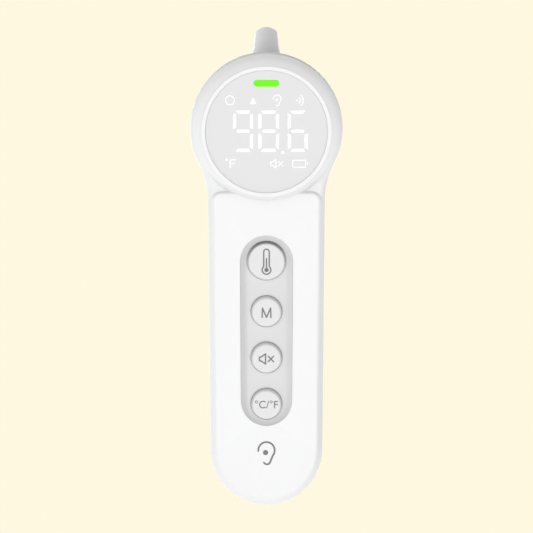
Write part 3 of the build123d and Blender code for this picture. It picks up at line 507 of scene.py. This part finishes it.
def speaker_sign(x, z, size, line):
    """A muted loudspeaker: box and horn in outline, with a cross beside it; size is 1 on the key."""
    horn = [(-2.27, -0.6), (-1.8, -0.6), (-0.3, -1.62), (-0.3, 1.62), (-1.8, 0.6), (-2.27, 0.6)]
    loops = stroke([(x + size * px, z + size * pz) for px, pz in horn], line, closed=True)
    for rise in (-1, 1):
        first = (x + size * 0.55, z - rise * size * 0.85)
        last = (x + size * 2.25, z + rise * size * 0.85)
        loops += stroke([first, last], line)
    return loops


def cell_sign(left, right, z, height, line):
    """A battery: a box in outline, with a nub at its right end."""
    half = line / 2
    near, far = left + half, right - 0.75
    low, high = z - height / 2 + half, z + height / 2 - half
    nub = right - half
    loops = stroke([(near, low), (far, low), (far, high), (near, high)], line, closed=True)
    return loops + stroke([(nub, z - 0.35), (nub, z + 0.35)], line)


def letter_f(x, z, height, line):
    """A plain F in strokes, with its stem's foot at (x, z)."""
    loops = stroke([(x, z), (x, z + height), (x + 0.64 * height, z + height)], line)
    return loops + stroke([(x, z + 0.53 * height), (x + 0.52 * height, z + 0.53 * height)], line)


def letter_m(x, z, line):
    """A plain M in one zigzag stroke, with slightly sloping legs."""
    foot, shoulder, rise = 1.4, 1.3, 1.5
    low, high = z - rise, z + rise
    zigzag = [(x - foot, low), (x - shoulder, high), (x, low), (x + shoulder, high), (x + foot, low)]
    return stroke(zigzag, line)


def thermometer_sign(x, z, line):
    """A thermometer: one outline round its tube and bulb, a filled bulb and its column."""
    bulb_z = z - 3.0
    tube = arc(x, bulb_z + 5.75, 0.89, 180, 0, 12)
    bulb = arc(x, bulb_z, 1.38, 50, -230, 30)
    loops = stroke(tube + bulb, line, closed=True)
    loops.append(disc(x, bulb_z, 0.68, 24))
    return loops + stroke([(x, bulb_z), (x, bulb_z + 3.6)], line)


# ---------------------------------------------------------------- the lit display
lens_low, lens_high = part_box("display_lens")
lens_z = (lens_low.z + lens_high.z) / 2 / MM
DIGIT_LOW = lens_z - 6.4
DIGIT_HEIGHT = 13.2
SEGMENT = 1.0             # width of a lit bar
CORNER_CUT = 0.87         # from a digit's corner to the ends of the bars that meet there
MIDDLE_CUT = 0.70         # from a digit's mid height to the ends of its upright bars
MITRE = 0.5               # how much shorter the inner side of a bar is at each end
POINT_R = 0.525           # the decimal point
DEGREE_R = 0.42
ICON_Z = lens_z + 10.1    # the signs above the digits
LOW_Z = lens_z - 10.2     # the signs below them
SIGN_LINE = 0.28
LETTER_LINE = 0.32


def bar(start, end, outward):
    """A lit bar whose outer side runs from start to end; its inner side is shorter, as on a mitred mask."""
    run = (Vector(end) - Vector(start)).normalized() * MITRE
    inward = -Vector(outward) * SEGMENT
    points = [Vector(start), Vector(end), Vector(end) - run + inward, Vector(start) + run + inward]
    return [(p.x, p.y) for p in points]


def digit(left, right, lit_segments):
    """Loops for the lit segments of one seven-segment digit; segments are lettered a to g as usual."""
    low, high = DIGIT_LOW, DIGIT_LOW + DIGIT_HEIGHT
    middle = (low + high) / 2
    near, far = left + CORNER_CUT, right - CORNER_CUT
    sill, top = low + CORNER_CUT, high - CORNER_CUT
    under, over = middle - MIDDLE_CUT, middle + MIDDLE_CUT
    inner, outer = near + MITRE, far - MITRE
    half = SEGMENT / 2
    point = half / 2
    loops = {
        "a": bar((near, high), (far, high), (0, 1)),
        "b": bar((right, over), (right, top), (1, 0)),
        "c": bar((right, sill), (right, under), (1, 0)),
        "d": bar((near, low), (far, low), (0, -1)),
        "e": bar((left, sill), (left, under), (-1, 0)),
        "f": bar((left, over), (left, top), (-1, 0)),
        "g": [
            (inner - point, middle),
            (inner, middle + half),
            (outer, middle + half),
            (outer + point, middle),
            (outer, middle - half),
            (inner, middle - half),
        ],
    }
    return [loops[letter] for letter in lit_segments]


reading = digit(-10.7, -4.3, "abcdfg") + digit(-2.6, 4.0, "abcdefg") + digit(6.8, 13.2, "acdefg")
reading.append(disc(5.2, DIGIT_LOW - 0.25, POINT_R))
plate("display_reading", reading, lens_low.y, white_light, "casing")

icons = home_sign(x=-11.7, z=ICON_Z, size=1.55, line=SIGN_LINE)
icons += warning_sign(x=-4.3, z=ICON_Z)
icons += ear_sign(x=3.4, z=ICON_Z, size=3.6, line=SIGN_LINE)
icons += waves_sign(x=10.7, z=ICON_Z, size=3.0, line=SIGN_LINE)
icons += speaker_sign(x=3.3, z=LOW_Z, size=0.86, line=SIGN_LINE)
icons += cell_sign(left=8.3, right=13.2, z=LOW_Z, height=2.5, line=SIGN_LINE)
icons += letter_f(x=-11.6, z=LOW_Z - 1.25, height=2.5, line=LETTER_LINE)
icons.append(disc(-12.8, LOW_Z + 1.3, DEGREE_R))
plate("display_signs", icons, lens_low.y, white_light, "casing")

# ---------------------------------------------------------------- printed legends
LEGEND_LINE = 0.40
LEGEND_DROP = 0.5         # the small keys' legends sit this far below the key's centre
UNIT_HEIGHT = 2.5
MARK_Z = 16.5             # the handle's mark, above the handle's lower end
MARK_SIZE = 7.5
MARK_LINE = 0.55
FACE_SETBACK = 1.0 * MM   # the handle's raised front is this far behind the display's rim


def key_face(name):
    """Front plane of a key, and the height of its centre in millimetres."""
    low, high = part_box(name)
    return low.y, (low.z + high.z) / 2 / MM


face_y, face_z = key_face("measure_button")
thermometer = thermometer_sign(x=0, z=face_z, line=LEGEND_LINE)
plate("measure_legend", thermometer, face_y, ink, "measure_key")

face_y, face_z = key_face("memory_button")
initial = letter_m(x=0, z=face_z - LEGEND_DROP, line=LEGEND_LINE)
plate("memory_legend", initial, face_y, ink, "memory_key")

face_y, face_z = key_face("mute_button")
speaker = speaker_sign(x=0, z=face_z - LEGEND_DROP, size=1, line=LEGEND_LINE)
plate("mute_legend", speaker, face_y, ink, "mute_key")

face_y, face_z = key_face("unit_button")
unit_center = (0, face_z - LEGEND_DROP / 2)
letters("unit_legend", "°C/°F", unit_center, UNIT_HEIGHT, face_y, ink, "unit_key")

# a plain printed ear on the handle, which shows what the thermometer is for
handle_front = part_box("front_shell")[0].y + FACE_SETBACK
mark = ear_sign(x=0, z=MARK_Z, size=MARK_SIZE, line=MARK_LINE)
plate("handle_mark", mark, handle_front, ink, "casing")

# ---------------------------------------------------------------- stage, light and camera
FRAME_WIDTH = 0.17056     # what the picture spans at the object's front
CAMERA_DISTANCE = 4.0
CAMERA_HEIGHT = 0.0763
SENSOR = 36.0
FAR_CLIP = 100.0
FLOOR_RADIUS = 30.0

# light from each direction, in scene-linear radiance
AMBIENT = 0.98
SIDE_TILT = 0.02          # more from the left, less from the right
CEILING_DIM = 0.90        # how much dimmer the darkest direction overhead is
CEILING_LEAN = radians(14)   # the darkest direction leans to the right by this
FLOOR_DIM = 0.15          # how much dimmer straight down is
PANEL_LIGHT = 2.05        # added by the panels ahead and behind
PANEL_INNER = radians(14)
PANEL_OUTER = radians(22)


def make_floor():
    """A pale floor that glows evenly in the backdrop's colour."""
    build = bmesh.new()
    bmesh.ops.create_circle(build, cap_ends=True, segments=96, radius=FLOOR_RADIUS)
    mesh = bpy.data.meshes.new("floor")
    build.to_mesh(mesh)
    build.free()
    floor = bpy.data.objects.new("floor", mesh)
    bpy.context.scene.collection.objects.link(floor)
    look = Finish("floor_cream")
    look.fix("Base Color", grey(0.0))
    look.fix("Roughness", 1.0)
    look.fix("Specular IOR Level", 0.0)
    look.fix("Emission Color", CREAM)
    look.fix("Emission Strength", 1.0)
    mesh.materials.append(look.material)
    floor.visible_diffuse = False
    floor.visible_glossy = False
    floor.visible_shadow = False


def make_world():
    """Studio surroundings over a cream backdrop: even light, bright panels ahead and behind, a dim ceiling."""
    world = bpy.data.worlds.new("studio")
    world.use_nodes = True
    bpy.context.scene.world = world
    world.node_tree.nodes.clear()
    sky = Nodes(world.node_tree)
    direction = sky.node("ShaderNodeTexCoord").outputs["Generated"]
    along = sky.parts(direction)
    ahead = sky.node("ShaderNodeMath", operation="ABSOLUTE")
    sky.link(along["Y"], ahead.inputs[0])
    overhead = sky.node("ShaderNodeVectorMath", operation="DOT_PRODUCT")
    overhead.inputs[1].default_value = (sin(CEILING_LEAN), 0, cos(CEILING_LEAN))
    sky.link(direction, overhead.inputs[0])
    edge, core = cos(PANEL_OUTER), cos(PANEL_INNER)
    level = sky.spread(along["X"], -1, 1, AMBIENT + SIDE_TILT, AMBIENT - SIDE_TILT)
    ceiling = sky.spread(overhead.outputs["Value"], 0, 1, 0, -CEILING_DIM)
    ground = sky.spread(along["Z"], -1, 0, -FLOOR_DIM, 0)
    panels = sky.spread(ahead.outputs["Value"], edge, core, 0, PANEL_LIGHT, "SMOOTHSTEP")
    for share in (ceiling, ground, panels):
        level = sky.combine("ADD", level, share)
    light = sky.node("ShaderNodeBackground")
    light.inputs["Color"].default_value = grey(1.0)
    sky.link(level, light.inputs["Strength"])
    backdrop = sky.node("ShaderNodeBackground")
    backdrop.inputs["Color"].default_value = CREAM
    choose = sky.node("ShaderNodeMixShader")
    sky.link(sky.node("ShaderNodeLightPath").outputs["Is Camera Ray"], choose.inputs["Fac"])
    sky.link(light.outputs["Background"], choose.inputs[1])
    sky.link(backdrop.outputs["Background"], choose.inputs[2])
    out = sky.node("ShaderNodeOutputWorld")
    sky.link(choose.outputs["Shader"], out.inputs["Surface"])


make_floor()
make_world()

camera = bpy.data.objects.new("camera", bpy.data.cameras.new("camera"))
camera.location = (0, cad_low.y - CAMERA_DISTANCE, CAMERA_HEIGHT)
camera.rotation_euler = (pi / 2, 0, 0)
camera.data.sensor_width = SENSOR
camera.data.lens = SENSOR * CAMERA_DISTANCE / FRAME_WIDTH
camera.data.clip_end = FAR_CLIP
bpy.context.scene.collection.objects.link(camera)
bpy.context.scene.camera = camera
bpy.context.scene.view_settings.view_transform = "Standard"
